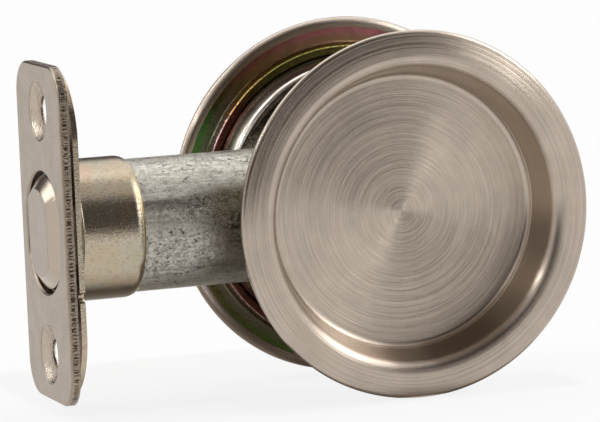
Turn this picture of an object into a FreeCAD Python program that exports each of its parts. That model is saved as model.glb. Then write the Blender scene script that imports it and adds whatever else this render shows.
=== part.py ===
import FreeCAD
import Part
import Sketcher

import math
import os
import re

# Round pocket door pull: two finger cups either side of a door, an edge plate, and a press-to-release
# finger pull that slides in the latch tube between them.
# Frame: +Z up, cups on the Y axis (front cup faces -Y), tube on the X axis, edge plate facing -X.
# Origin where the tube's axis crosses the cups' axis, midway between the cups. Millimetres.

sizes = [
    # Edge plate and its screw dimples
    ("backset", 60.33),
    ("plate_height", 57.15),
    ("plate_width", 25.4),
    ("plate_thickness", 1.6),
    ("plate_corner", 6.0),
    ("plate_edge_round", 0.45),
    ("screw_inset", 7.925),
    ("screw_spacing", "=plate_height - 2 * screw_inset"),
    ("dimple_radius", 5.2),
    ("dimple_depth", 1.8),
    ("dimple_curve", 3.6),
    ("dimple_wall", 1.0),
    ("throat_radius", 2.5),
    ("throat_length", 0.5),
    # Flange and drawn collar behind the plate
    ("flange_gap", 0.7),
    ("flange_thickness", 0.95),
    ("flange_drop", 1.15),
    ("flange_height", "=plate_height - flange_drop"),
    ("flange_inset", 0.7),
    ("flange_width", "=plate_width - 2 * flange_inset"),
    ("flange_hole_gap", 0.4),
    ("flange_slot", 2.0),
    ("notch_radius", 0.9),
    ("notch_level", 9.9),
    ("collar_wall", 0.7),
    ("collar_length", 11.2),
    ("collar_root", 0.5),
    ("collar_edge", 0.25),
    ("shoulder_radius", 3.0),
    # Latch tube
    ("tube_inset", 1.4),
    ("tube_radius", "=plate_width / 2 - tube_inset"),
    ("tube_wall", 0.9),
    ("tube_tail", 5.0),
    ("tube_fit", 0.05),
    ("side_gap", 0.5),
    # Finger pull: head, neck, piston and cam stem
    ("pull_inset", 0.8),
    ("pull_radius", "=tube_radius - tube_wall - pull_inset"),
    ("flat_cut", 1.2),
    ("pull_flats", "=2 * (pull_radius - flat_cut)"),
    ("pull_bevel", 2.2),
    ("pull_bevel_depth", 1.5),
    ("flat_bevel", 3.2),
    ("flat_bevel_depth", 2.05),
    ("pull_proud", 0.95),
    ("pull_thickness", 4.6),
    ("pull_gap", 0.8),
    ("flat_gap", 1.2),
    ("pull_travel", 13.0),
    ("press_travel", 1.5),
    ("stop_gap", 0.3),
    ("neck_radius", 5.5),
    ("piston_length", 5.5),
    ("piston_gap", 0.25),
    ("stem_width", 8.0),
    ("stem_height", 4.4),
    ("stem_gap", 0.25),
    ("stem_end", 1.5),
    # Heart-shaped cam track in the stem, and the wire that follows it
    ("track_depth", 1.0),
    ("track_wall", 0.9),
    ("track_neck", 0.9),
    ("track_margin", 0.3),
    ("heart_length", 9.0),
    ("heart_half_width", 1.6),
    ("lobe_half_width", 1.2),
    ("heart_notch", 1.0),
    ("heart_seat", 0.75),
    ("wire_radius", 0.45),
    ("wire_lift", 1.2),
    ("wire_bend", 1.2),
    ("wire_grip", 3.0),
    ("tip_gap", 0.2),
    ("tip_setback", 0.9),
    # Return spring, its guide bush and the end plug
    ("spring_length", 7.5),
    ("spring_turns", 4.5),
    ("spring_wire_radius", 0.5),
    ("spring_radius", 7.0),
    ("spring_end_gap", 0.05),
    ("bush_length", 4.0),
    ("plug_length", 4.0),
    ("plug_gap", 1.0),
    # Finger cups
    ("door_gap", 33.3),
    ("rim_cover", 4.7),
    ("rim_height", 2.25),
    ("rim_fall", 0.35),
    ("rim_round", 1.1),
    ("hem_width", 1.8),
    ("shell_sheet", 0.5),
    ("bowl_radius", 24.7),
    ("bowl_depth", 7.7),
    ("bowl_corner", 0.6),
    ("lip_radius", 1.7),
    ("groove_width", 0.5),
    ("groove_depth", 0.2),
    # Backing rings inside the cups' hems
    ("ring_sheet", 0.9),
    ("ring_edge_gap", 0.1),
    ("hub_gap", 0.5),
    ("hub_depth", 1.9),
    ("hub_bend", 0.6),
    ("hub_edge", 0.35),
    # Posts and screws that draw the cups together
    ("post_radius", 3.2),
    ("post_bite", 0.9),
    ("post_gap", 0.15),
    ("post_bore_depth", 11.0),
    ("foot_radius", 4.5),
    ("foot_thickness", 0.8),
    ("shank_radius", 2.0),
    ("shank_length", 9.0),
    ("thread_fit", 0.05),
    ("screw_hole_gap", 0.3),
    ("head_radius", 4.0),
    ("head_height", 2.2),
    ("head_round", 1.4),
    ("recess_width", 1.0),
    ("recess_length", 4.4),
    ("recess_depth", 1.2),
]

doc = FreeCAD.newDocument("PocketDoorPull")
sheet = doc.addObject("Spreadsheet::Sheet", "Sizes")
for row, (alias, value) in enumerate(sizes, start=1):
    sheet.set("A%d" % row, alias)
    sheet.set("B%d" % row, str(value))
    sheet.setAlias("B%d" % row, alias)
doc.recompute()


size_names = {alias for alias, value in sizes}
# Length of a construction line, and how near two planes count as one
axis_length = 1.0
same_place = 1e-6


def size(words):
    """Turn a formula of size names into an expression on the sheet."""
    def bind(found):
        word = found.group()
        return "Sizes." + word if word in size_names else word
    return re.sub("[a-z_]+", bind, words)


# Stations along the tube, from the plate's face to the tube's end
plate_face = "(0 - backset)"
plate_back = "(plate_thickness - backset)"
flange_front = "(plate_thickness + flange_gap - backset)"
flange_back = "(plate_thickness + flange_gap + flange_thickness - backset)"
collar_end = "(%s + collar_length)" % flange_back
tube_seat = "(tube_radius + tube_fit)"
collar_radius = "(tube_radius + tube_fit + collar_wall)"
tube_bore = "(tube_radius - tube_wall)"
press_radius = "(tube_radius - tube_wall - tube_fit)"
piston_front = "(%s + pull_travel + stop_gap)" % plate_back
piston_back = "(%s + piston_length)" % piston_front
bush_front = "(%s + spring_length)" % piston_back
bush_back = "(%s + bush_length)" % bush_front
tip_place = "(%s + tip_setback)" % bush_back
track_front = "(%s - press_travel - wire_radius - track_margin)" % tip_place
track_back = "(%s + pull_travel + wire_radius + track_margin)" % tip_place
stem_back = "(%s + stem_end)" % track_back
plug_front = "(%s + press_travel + plug_gap)" % stem_back
plug_back = "(%s + plug_length)" % plug_front

# Depths of a cup along Y, front cup
seat = "(0 - door_gap / 2)"
rim_top = "(0 - door_gap / 2 - rim_height)"
sheet_back = "(shell_sheet - door_gap / 2 - rim_height)"
floor_front = "(bowl_depth - door_gap / 2 - rim_height)"
floor_back = "(bowl_depth + shell_sheet - door_gap / 2 - rim_height)"
ring_front = "(%s + rim_fall)" % sheet_back
ring_back = "(%s + ring_sheet)" % ring_front
hub_end = "(%s + hub_depth)" % ring_back
wall_back = "(bowl_radius + shell_sheet)"
hub_radius = "(%s + hub_gap + ring_sheet)" % wall_back
rim_radius = "(%s + rim_cover)" % hub_radius
hem_inside = "(%s - shell_sheet - ring_edge_gap)" % rim_radius
post_height = "(tube_radius + post_radius - post_bite)"
bore_radius = "(shank_radius + thread_fit)"
# Width left between the two bowls' backs, where the tube passes
side_flat = "(door_gap / 2 + rim_height - bowl_depth - shell_sheet - side_gap)"


def new_body(label):
    body = doc.addObject("PartDesign::Body", label)
    body.Label = label
    return body


def new_sketch(body, name, role, offset=None):
    """A sketch on one of the body's own origin planes, moved along the plane's normal."""
    plane = [feature for feature in body.Origin.OriginFeatures if feature.Role == role][0]
    sketch = body.newObject("Sketcher::SketchObject", body.Label + "_" + name)
    sketch.AttachmentSupport = (plane, "")
    sketch.MapMode = "FlatFace"
    if offset:
        sketch.setExpression("AttachmentOffset.Base.z", size(offset))
    return sketch


def fix_point(sketch, edge, end, words, axis):
    """Hold one coordinate of a sketch point at a size formula."""
    if words == "0":
        sketch.addConstraint(Sketcher.Constraint("PointOnObject", edge, end, -2 if axis == "X" else -1))
        return
    start = float(sketch.evalExpression(size(words)))
    index = sketch.addConstraint(Sketcher.Constraint("Distance" + axis, -1, 1, edge, end, start))
    sketch.setExpression("Constraints[%d]" % index, size(words))


def draw_outline(sketch, corners):
    """A closed outline. A corner is (x, y), or (x, y, radius, turn) when an arc leads to the next one:
    turn is 1 for an anticlockwise arc and -1 for a clockwise one."""
    points = []
    for corner in corners:
        across = float(sketch.evalExpression(size(corner[0])))
        along = float(sketch.evalExpression(size(corner[1])))
        points.append(FreeCAD.Vector(across, along, 0))
    edges = []
    for index, corner in enumerate(corners):
        start = points[index]
        finish = points[(index + 1) % len(points)]
        if len(corner) == 2:
            edge = sketch.addGeometry(Part.LineSegment(start, finish), False)
            edges.append((edge, 1, 2))
            continue
        radius = float(sketch.evalExpression(size(corner[2])))
        turn = corner[3]
        chord = finish - start
        rise = math.sqrt(max(radius ** 2 - (chord.Length / 2) ** 2, 0))
        left = FreeCAD.Vector(-chord.y, chord.x, 0).normalize()
        centre = (start + finish) * 0.5 + left * rise * turn
        first, last = (start, finish) if turn > 0 else (finish, start)
        angles = [math.atan2(point.y - centre.y, point.x - centre.x) for point in (first, last)]
        circle = Part.Circle(centre, FreeCAD.Vector(0, 0, 1), radius)
        edge = sketch.addGeometry(Part.ArcOfCircle(circle, angles[0], angles[1]), False)
        edges.append((edge, 1, 2) if turn > 0 else (edge, 2, 1))
    for index, corner in enumerate(corners):
        edge, start_end, finish_end = edges[index]
        following = edges[(index + 1) % len(edges)]
        sketch.addConstraint(Sketcher.Constraint("Coincident", edge, finish_end, following[0], following[1]))
        fix_point(sketch, edge, start_end, corner[0], "X")
        fix_point(sketch, edge, start_end, corner[1], "Y")
        if len(corner) == 4:
            radius = float(sketch.evalExpression(size(corner[2])))
            held = sketch.addConstraint(Sketcher.Constraint("Radius", edge, radius))
            sketch.setExpression("Constraints[%d]" % held, size(corner[2]))


def draw_circle(sketch, across, along, radius):
    centre = [float(sketch.evalExpression(size(words))) for words in (across, along)]
    start = float(sketch.evalExpression(size(radius)))
    circle = Part.Circle(FreeCAD.Vector(centre[0], centre[1], 0), FreeCAD.Vector(0, 0, 1), start)
    edge = sketch.addGeometry(circle, False)
    fix_point(sketch, edge, 3, across, "X")
    fix_point(sketch, edge, 3, along, "Y")
    held = sketch.addConstraint(Sketcher.Constraint("Radius", edge, start))
    sketch.setExpression("Constraints[%d]" % held, size(radius))


def draw_axis(sketch, along):
    """A construction line parallel to the sketch's own x axis, to turn a profile about."""
    level = float(sketch.evalExpression(size(along)))
    line = Part.LineSegment(FreeCAD.Vector(0, level, 0), FreeCAD.Vector(axis_length, level, 0))
    edge = sketch.addGeometry(line, True)
    sketch.addConstraint(Sketcher.Constraint("Horizontal", edge))
    fix_point(sketch, edge, 1, "0", "X")
    fix_point(sketch, edge, 1, along, "Y")
    sketch.addConstraint(Sketcher.Constraint("Distance", edge, axis_length))


def add_feature(body, kind, name, profile):
    feature = body.newObject("PartDesign::" + kind, body.Label + "_" + name)
    feature.Profile = profile
    return feature


def check_cut(body, feature, before):
    """A cut that removes nothing is a mistake in its direction."""
    if not body.Shape.Volume < before:
        raise RuntimeError("no material removed by " + feature.Name)


def pad(body, name, sketch, length):
    feature = add_feature(body, "Pad", name, sketch)
    feature.setExpression("Length", size(length))
    doc.recompute()
    return feature


def pocket(body, name, sketch, length, both_sides=False, along_normal=False, may_miss=False):
    before = body.Shape.Volume
    feature = add_feature(body, "Pocket", name, sketch)
    feature.Midplane = both_sides
    feature.Reversed = along_normal
    feature.setExpression("Length", size(length))
    doc.recompute()
    if not may_miss:
        check_cut(body, feature, before)
    return feature


def revolve(body, name, sketch, axis):
    feature = add_feature(body, "Revolution", name, sketch)
    feature.ReferenceAxis = (sketch, [axis])
    doc.recompute()
    return feature


def groove(body, name, sketch, axis):
    before = body.Shape.Volume
    feature = add_feature(body, "Groove", name, sketch)
    feature.ReferenceAxis = (sketch, [axis])
    doc.recompute()
    check_cut(body, feature, before)
    return feature


def front_edges(feature, place):
    """Names of the edges of a feature that lie in the plane at one X."""
    level = float(sheet.evalExpression(size(place)))
    names = []
    for index, edge in enumerate(feature.Shape.Edges, start=1):
        box = edge.BoundBox
        if abs(box.XMin - level) < same_place and abs(box.XMax - level) < same_place:
            names.append("Edge%d" % index)
    return names


def two_flats(radius, flats):
    """Corners of a circle cut by two flats facing +Y and -Y, anticlockwise."""
    half = "%s / 2" % flats
    rise = "sqrt(%s ^ 2 - (%s / 2) ^ 2)" % (radius, flats)
    return [
        (half, "0 - " + rise),
        (half, rise, radius, 1),
        ("0 - " + half, rise),
        ("0 - " + half, "0 - " + rise, radius, 1),
    ]


def rectangle(left, right, low, high):
    return [(left, low), (right, low), (right, high), (left, high)]


def make_edge_faceplate():
    body = new_body("edge_faceplate")
    half_width = "plate_width / 2"
    half_height = "plate_height / 2"
    side = "(plate_width / 2 - plate_corner)"
    end = "(plate_height / 2 - plate_corner)"
    outline = new_sketch(body, "outline", "YZ_Plane", plate_face)
    draw_outline(outline, [
        ("0 - " + side, "0 - " + half_height),
        (side, "0 - " + half_height, "plate_corner", 1),
        (half_width, "0 - " + end),
        (half_width, end, "plate_corner", 1),
        (side, half_height),
        ("0 - " + side, half_height, "plate_corner", 1),
        ("0 - " + half_width, end),
        ("0 - " + half_width, "0 - " + end, "plate_corner", 1),
    ])
    pad(body, "blank", outline, "plate_thickness")
    hole = new_sketch(body, "pull_hole", "YZ_Plane", plate_back)
    draw_outline(hole, two_flats("(pull_radius + pull_gap)", "(pull_flats + 2 * flat_gap)"))
    window = pocket(body, "pull_window", hole, "plate_thickness")
    soft_edge = body.newObject("PartDesign::Fillet", "edge_faceplate_soft_edge")
    soft_edge.Base = (window, front_edges(window, plate_face))
    soft_edge.setExpression("Radius", size("plate_edge_round"))
    doc.recompute()
    dimple_end = "(dimple_depth - backset)"
    throat_start = "(dimple_depth - throat_length - backset)"
    for name, sign in (("upper", ""), ("lower", "0 - ")):
        axis = sign + "screw_spacing / 2"
        funnel = new_sketch(body, name + "_funnel", "XZ_Plane")
        draw_outline(funnel, [
            (plate_back, axis),
            (dimple_end, axis),
            (dimple_end, axis + " + throat_radius + dimple_wall"),
            (plate_back, axis + " + dimple_radius"),
        ])
        draw_axis(funnel, axis)
        revolve(body, name + "_dimple", funnel, "Axis0")
        mouth = new_sketch(body, name + "_mouth", "XZ_Plane")
        draw_outline(mouth, [
            (plate_face, axis),
            (dimple_end, axis),
            (dimple_end, axis + " + throat_radius"),
            (throat_start, axis + " + throat_radius", "dimple_curve", 1),
            (plate_face, axis + " + dimple_radius"),
        ])
        draw_axis(mouth, axis)
        groove(body, name + "_countersink", mouth, "Axis0")
    return body


def make_latch_flange():
    body = new_body("latch_flange")
    half = "flange_width / 2"
    run = "(flange_height / 2 - flange_width / 2)"
    apex = "flange_height / 2"
    outline = new_sketch(body, "outline", "YZ_Plane", flange_front)
    draw_outline(outline, [
        (half, "0 - " + run),
        (half, run, half, 1),
        ("0", apex, half, 1),
        ("0 - " + half, run),
        ("0 - " + half, "0 - " + run, half, 1),
        ("0", "0 - " + apex, half, 1),
    ])
    pad(body, "blank", outline, "flange_thickness")
    lip = "(%s + collar_edge)" % tube_seat
    drop = "(%s - %s)" % (collar_radius, lip)
    turn_in = "sqrt(2 * shoulder_radius * %s - %s ^ 2)" % (drop, drop)
    section = new_sketch(body, "collar_section", "XY_Plane")
    draw_outline(section, [
        (flange_back, tube_seat),
        (collar_end, tube_seat),
        (collar_end, lip, "shoulder_radius", 1),
        (collar_end + " - " + turn_in, collar_radius),
        (flange_back + " + collar_root", collar_radius, "collar_root", -1),
        (flange_back, collar_radius + " + collar_root"),
    ])
    revolve(body, "collar", section, "H_Axis")
    bore = new_sketch(body, "tube_hole", "YZ_Plane", flange_back)
    draw_circle(bore, "0", "0", tube_seat)
    pocket(body, "tube_bore", bore, "flange_thickness")
    # Round-ended openings behind the dimples, longer across the plate
    holes = new_sketch(body, "dimple_holes", "YZ_Plane", flange_back)
    clear = "(dimple_radius + flange_hole_gap)"
    for sign in ("", "0 - "):
        axis = sign + "screw_spacing / 2"
        draw_outline(holes, [
            ("0 - flange_slot", axis + " - " + clear),
            ("flange_slot", axis + " - " + clear, clear, 1),
            ("flange_slot + " + clear, axis, clear, 1),
            ("flange_slot", axis + " + " + clear),
            ("0 - flange_slot", axis + " + " + clear, clear, 1),
            ("0 - flange_slot - " + clear, axis, clear, 1),
        ])
    pocket(body, "dimple_clearance", holes, "flange_thickness")
    notch = new_sketch(body, "notch_outline", "YZ_Plane", flange_back)
    draw_circle(notch, "0 - flange_width / 2", "0 - notch_level", "notch_radius")
    pocket(body, "notch", notch, "flange_thickness")
    return body


def make_latch_tube():
    body = new_body("latch_tube")
    section = new_sketch(body, "section", "XY_Plane")
    draw_outline(section, rectangle(flange_front, "tube_tail", tube_bore, "tube_radius"))
    revolve(body, "wall", section, "H_Axis")
    flats = new_sketch(body, "side_flats", "XY_Plane")
    flat_start = "0 - %s - side_gap" % hub_radius
    flat_end = "tube_tail + tube_wall"
    outside = "(tube_radius + tube_wall)"
    draw_outline(flats, rectangle(flat_start, flat_end, side_flat, outside))
    draw_outline(flats, rectangle(flat_start, flat_end, "0 - " + outside, "0 - " + side_flat))
    # In a thicker door the bowls stand clear of the tube and the flats vanish
    pocket(body, "bowl_clearance", flats, "2 * tube_radius", both_sides=True, may_miss=True)
    posts = new_sketch(body, "post_notches", "XZ_Plane")
    for sign in ("", "0 - "):
        draw_circle(posts, "0", sign + post_height, "post_radius + post_gap")
    pocket(body, "post_seats", posts, "2 * tube_radius", both_sides=True)
    return body


def make_finger_pull():
    """One turned piece: bevelled head, neck and piston, then two flats on the head and the cam stem."""
    body = new_body("finger_pull")
    pull_front = "(0 - backset - pull_proud)"
    head_back = "(pull_thickness - backset - pull_proud)"
    piston_radius = tube_bore + " - piston_gap"
    section = new_sketch(body, "section", "XY_Plane")
    draw_outline(section, [
        (pull_front, "0"),
        (piston_back, "0"),
        (piston_back, piston_radius),
        (piston_front, piston_radius),
        (piston_front, "neck_radius"),
        (head_back, "neck_radius"),
        (head_back, "pull_radius"),
        (pull_front + " + pull_bevel_depth", "pull_radius"),
        (pull_front, "pull_radius - pull_bevel"),
    ])
    revolve(body, "turning", section, "H_Axis")
    flats = new_sketch(body, "head_flats", "XY_Plane")
    for sign in ("", "0 - "):
        draw_outline(flats, [
            (pull_front, sign + "(pull_flats / 2 - flat_bevel)"),
            (pull_front + " + flat_bevel_depth", sign + "pull_flats / 2"),
            (head_back, sign + "pull_flats / 2"),
            (head_back, sign + "(pull_radius + pull_gap)"),
            (pull_front, sign + "(pull_radius + pull_gap)"),
        ])
    pocket(body, "flats", flats, "2 * pull_radius", both_sides=True)
    half_width = "stem_width / 2"
    half_height = "stem_height / 2"
    stem = new_sketch(body, "stem_outline", "YZ_Plane", piston_back)
    draw_outline(stem, rectangle("0 - " + half_width, half_width, "0 - " + half_height, half_height))
    pad(body, "stem", stem, "%s - %s" % (stem_back, piston_back))
    wide = "(stem_width / 2 - track_wall)"
    taper_start = "(%s + heart_length)" % tip_place
    lobe = "(%s + heart_seat - heart_notch)" % tip_place
    shoulder = "(%s + heart_seat)" % tip_place
    track = new_sketch(body, "cam_track", "XY_Plane", half_height)
    draw_outline(track, [
        (track_front, "0 - " + wide),
        (taper_start, "0 - " + wide),
        (track_back, "0 - track_neck"),
        (track_back, "track_neck"),
        (taper_start, wide),
        (track_front, wide),
    ])
    draw_outline(track, [
        (shoulder, "0"),
        (lobe, "0 - lobe_half_width"),
        (shoulder, "0 - heart_half_width"),
        (taper_start, "0"),
        (shoulder, "heart_half_width"),
        (lobe, "lobe_half_width"),
    ])
    pocket(body, "heart_cam", track, "track_depth")
    return body


def make_pull_spring():
    body = new_body("pull_spring")
    section = new_sketch(body, "wire_section", "XY_Plane")
    first_turn = piston_back + " + spring_wire_radius + spring_end_gap"
    draw_circle(section, first_turn, "spring_radius", "spring_wire_radius")
    coil = add_feature(body, "AdditiveHelix", "coil", section)
    coil.ReferenceAxis = (section, ["H_Axis"])
    coil.Mode = "height-turns-angle"
    coil.setExpression("Height", size("spring_length - 2 * spring_wire_radius - 2 * spring_end_gap"))
    coil.setExpression("Turns", size("spring_turns"))
    doc.recompute()
    return body


def make_guide_bush():
    body = new_body("guide_bush")
    outline = new_sketch(body, "outline", "YZ_Plane", bush_front)
    draw_circle(outline, "0", "0", press_radius)
    pad(body, "disc", outline, "bush_length")
    half_width = "(stem_width / 2 + stem_gap)"
    half_height = "(stem_height / 2 + stem_gap)"
    slot = new_sketch(body, "slot", "YZ_Plane", bush_back)
    draw_outline(slot, rectangle("0 - " + half_width, half_width, "0 - " + half_height, half_height))
    pocket(body, "stem_slot", slot, "bush_length")
    return body


def make_tube_end_plug():
    body = new_body("tube_end_plug")
    outline = new_sketch(body, "outline", "YZ_Plane", plug_front)
    draw_circle(outline, "0", "0", press_radius)
    pad(body, "disc", outline, "plug_length")
    flats = new_sketch(body, "side_flats", "YZ_Plane", plug_back)
    draw_outline(flats, rectangle(side_flat, "tube_radius", "0 - tube_radius", "tube_radius"))
    draw_outline(flats, rectangle("0 - tube_radius", "0 - " + side_flat, "0 - tube_radius", "tube_radius"))
    pocket(body, "bowl_clearance", flats, "plug_length", may_miss=True)
    grip = new_sketch(body, "wire_hole", "YZ_Plane", plug_back)
    draw_circle(grip, "0", "stem_height / 2 + wire_lift", "wire_radius + tube_fit")
    pocket(body, "wire_socket", grip, "plug_length")
    return body


def make_catch_wire():
    body = new_body("catch_wire")
    level = "(stem_height / 2 + wire_lift)"
    anchor = "(%s + wire_grip)" % plug_front
    bend_start = "(%s + wire_bend)" % tip_place
    bend_end = "(stem_height / 2 + wire_lift - wire_bend)"
    tip_end = "(stem_height / 2 - track_depth + tip_gap)"
    section = new_sketch(body, "wire_section", "YZ_Plane", anchor)
    draw_circle(section, "0", level, "wire_radius")
    route = new_sketch(body, "route", "XZ_Plane")
    def spot(across, along):
        return FreeCAD.Vector(*[float(route.evalExpression(size(words))) for words in (across, along)])

    radius = float(route.evalExpression(size("wire_bend")))
    corner = Part.Circle(spot(bend_start, bend_end), FreeCAD.Vector(0, 0, 1), radius)
    leg = route.addGeometry(Part.LineSegment(spot(anchor, level), spot(bend_start, level)), False)
    bend = route.addGeometry(Part.ArcOfCircle(corner, math.pi / 2, math.pi), False)
    tip = route.addGeometry(Part.LineSegment(spot(tip_place, bend_end), spot(tip_place, tip_end)), False)
    route.addConstraint(Sketcher.Constraint("Coincident", leg, 2, bend, 1))
    route.addConstraint(Sketcher.Constraint("Coincident", bend, 2, tip, 1))
    for edge, end, across, along in ((leg, 1, anchor, level), (leg, 2, bend_start, level),
                                     (tip, 1, tip_place, bend_end), (tip, 2, tip_place, tip_end)):
        fix_point(route, edge, end, across, "X")
        fix_point(route, edge, end, along, "Y")
    held = route.addConstraint(Sketcher.Constraint("Radius", bend, radius))
    route.setExpression("Constraints[%d]" % held, size("wire_bend"))
    doc.recompute()
    wire = add_feature(body, "AdditivePipe", "wire", section)
    wire.Spine = (route, ["Edge1", "Edge2", "Edge3"])
    doc.recompute()
    return body


def make_trim_cup(label):
    """A pressed dish: floor, wall, rolled lip, sloping rim, and a hem folded over the backing ring."""
    body = new_body(label)
    rim_edge = "(%s + rim_fall)" % rim_top
    widest = rim_edge + " + rim_round"
    hem_round = "(rim_height - rim_fall - rim_round)"
    hem_end = "(%s - hem_width)" % rim_radius
    hem_top = seat + " - shell_sheet"
    groove_out = "(bowl_radius - bowl_corner)"
    groove_in = "(bowl_radius - bowl_corner - groove_width)"
    section = new_sketch(body, "section", "XY_Plane")
    draw_outline(section, [
        ("0", floor_front),
        (groove_in, floor_front),
        (groove_in + " + groove_width / 2", floor_front + " + groove_depth"),
        (groove_out, floor_front, "bowl_corner", 1),
        ("bowl_radius", floor_front + " - bowl_corner"),
        ("bowl_radius", rim_top + " + lip_radius", "lip_radius", 1),
        ("bowl_radius + lip_radius", rim_top),
        (rim_radius + " - rim_round", rim_edge, "rim_round", 1),
        (rim_radius, widest, hem_round, 1),
        (rim_radius + " - " + hem_round, seat),
        (hem_end, seat),
        (hem_end, hem_top),
        (hem_inside + " + ring_edge_gap", hem_top),
        (hem_inside + " + ring_edge_gap", ring_front),
        ("bowl_radius + lip_radius", sheet_back, "lip_radius - shell_sheet", -1),
        (wall_back, rim_top + " + lip_radius"),
        (wall_back, floor_front + " - bowl_corner", "bowl_corner + shell_sheet", -1),
        (groove_out, floor_back),
        ("0", floor_back),
    ])
    revolve(body, "shell", section, "V_Axis")
    return body


def make_rear_trim_cup():
    body = make_trim_cup("rear_trim_cup")
    holes = new_sketch(body, "screw_holes", "XZ_Plane")
    for sign in ("", "0 - "):
        draw_circle(holes, "0", sign + post_height, "shank_radius + screw_hole_gap")
    pocket(body, "screw_clearance", holes, "door_gap", both_sides=True)
    return body


def make_backing_ring(label):
    """A stamped ring with a turned-down hub that locates in the door's cross bore."""
    body = new_body(label)
    hub_inside = "(%s + hub_gap)" % wall_back
    bend_radius = "(%s + hub_bend)" % hub_radius
    section = new_sketch(body, "section", "XY_Plane")
    draw_outline(section, [
        (hem_inside, ring_back),
        (hem_inside, ring_front),
        (bend_radius, ring_front, "hub_bend + ring_sheet", 1),
        (hub_inside, ring_back + " + hub_bend"),
        (hub_inside, hub_end),
        (hub_radius + " - hub_edge", hub_end, "hub_edge", 1),
        (hub_radius, hub_end + " - hub_edge"),
        (hub_radius, ring_back + " + hub_bend", "hub_bend", -1),
        (bend_radius, ring_back),
    ])
    revolve(body, "ring", section, "V_Axis")
    return body


def make_post(label, sign):
    body = new_body(label)
    post_end = "(0 - %s)" % floor_back
    bore_start = post_end + " - post_bore_depth"
    section = new_sketch(body, "section", "XY_Plane")
    draw_outline(section, [
        ("0", floor_back),
        ("foot_radius", floor_back),
        ("foot_radius", floor_back + " + foot_thickness"),
        ("post_radius", floor_back + " + foot_thickness"),
        ("post_radius", post_end),
        (bore_radius, post_end),
        (bore_radius, bore_start),
        ("0", bore_start),
    ])
    revolve(body, "post", section, "V_Axis")
    body.setExpression("Placement.Base.z", size(sign + post_height))
    return body


def make_screw(label, sign):
    """A pan-head screw with a cross recess, its head on the rear cup's floor."""
    body = new_body(label)
    under_head = "(0 - %s)" % floor_front
    head_top = under_head + " + head_height"
    section = new_sketch(body, "section", "XY_Plane")
    draw_outline(section, [
        ("0", under_head + " - shank_length"),
        ("shank_radius", under_head + " - shank_length"),
        ("shank_radius", under_head),
        ("head_radius", under_head),
        ("head_radius", head_top + " - head_round", "head_round", 1),
        ("head_radius - head_round", head_top),
        ("0", head_top),
    ])
    revolve(body, "screw", section, "V_Axis")
    long_half = "recess_length / 2"
    short_half = "recess_width / 2"
    recess = new_sketch(body, "recess", "XZ_Plane", "0 - (%s)" % head_top)
    draw_outline(recess, [
        ("0 - " + long_half, "0 - " + short_half),
        ("0 - " + short_half, "0 - " + short_half),
        ("0 - " + short_half, "0 - " + long_half),
        (short_half, "0 - " + long_half),
        (short_half, "0 - " + short_half),
        (long_half, "0 - " + short_half),
        (long_half, short_half),
        (short_half, short_half),
        (short_half, long_half),
        ("0 - " + short_half, long_half),
        ("0 - " + short_half, short_half),
        ("0 - " + long_half, short_half),
    ])
    pocket(body, "cross_recess", recess, "recess_depth", along_normal=True)
    body.setExpression("Placement.Base.z", size(sign + post_height))
    return body


half_turn = FreeCAD.Rotation(FreeCAD.Vector(0, 0, 1), 180)
parts = [
    make_edge_faceplate(),
    make_latch_flange(),
    make_latch_tube(),
    make_finger_pull(),
    make_pull_spring(),
    make_guide_bush(),
    make_tube_end_plug(),
    make_catch_wire(),
    make_trim_cup("front_trim_cup"),
    make_rear_trim_cup(),
    make_backing_ring("front_backing_ring"),
    make_backing_ring("rear_backing_ring"),
]
for label, sign in (("upper", ""), ("lower", "0 - ")):
    parts.append(make_post(label + "_post", sign))
    parts.append(make_screw(label + "_screw", sign))
for part in parts:
    if part.Label.startswith("rear_"):
        part.Placement = FreeCAD.Placement(FreeCAD.Vector(0, 0, 0), half_turn)
doc.recompute()

for item in doc.Objects:
    if "Invalid" in item.State or "Error" in item.State:
        raise RuntimeError("%s failed: %s" % (item.Name, item.State))
for part in parts:
    if part.Shape.isNull() or not part.Shape.isValid() or len(part.Shape.Solids) != 1:
        raise RuntimeError("%s has no single valid solid" % part.Label)

os.makedirs("parts", exist_ok=True)
for part in parts:
    part.Shape.exportStep("parts/%s.step" % part.Label)
    print("%-20s %9.1f mm3" % (part.Label, part.Shape.Volume))
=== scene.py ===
import math

import bmesh
import bpy
from mathutils import Matrix, Vector


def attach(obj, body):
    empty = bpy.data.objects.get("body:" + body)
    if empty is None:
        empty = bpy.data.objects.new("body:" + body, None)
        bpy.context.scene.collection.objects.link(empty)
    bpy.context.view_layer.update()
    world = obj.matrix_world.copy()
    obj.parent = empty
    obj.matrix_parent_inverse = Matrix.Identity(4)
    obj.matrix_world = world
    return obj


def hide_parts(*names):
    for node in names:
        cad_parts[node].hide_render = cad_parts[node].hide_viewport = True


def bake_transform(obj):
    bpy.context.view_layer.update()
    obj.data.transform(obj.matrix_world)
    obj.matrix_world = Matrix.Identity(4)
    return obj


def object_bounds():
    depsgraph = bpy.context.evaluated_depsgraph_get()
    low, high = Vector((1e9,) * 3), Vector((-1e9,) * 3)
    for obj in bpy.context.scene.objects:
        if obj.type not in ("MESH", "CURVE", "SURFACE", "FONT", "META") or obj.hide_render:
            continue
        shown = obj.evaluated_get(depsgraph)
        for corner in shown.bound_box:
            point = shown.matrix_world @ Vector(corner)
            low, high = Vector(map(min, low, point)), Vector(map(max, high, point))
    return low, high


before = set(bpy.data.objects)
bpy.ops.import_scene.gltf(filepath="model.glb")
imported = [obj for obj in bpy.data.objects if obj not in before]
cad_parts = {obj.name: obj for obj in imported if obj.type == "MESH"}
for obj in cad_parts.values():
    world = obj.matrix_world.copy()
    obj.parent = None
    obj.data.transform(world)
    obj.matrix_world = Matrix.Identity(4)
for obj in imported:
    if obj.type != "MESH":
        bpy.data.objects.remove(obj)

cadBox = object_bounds()
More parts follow.
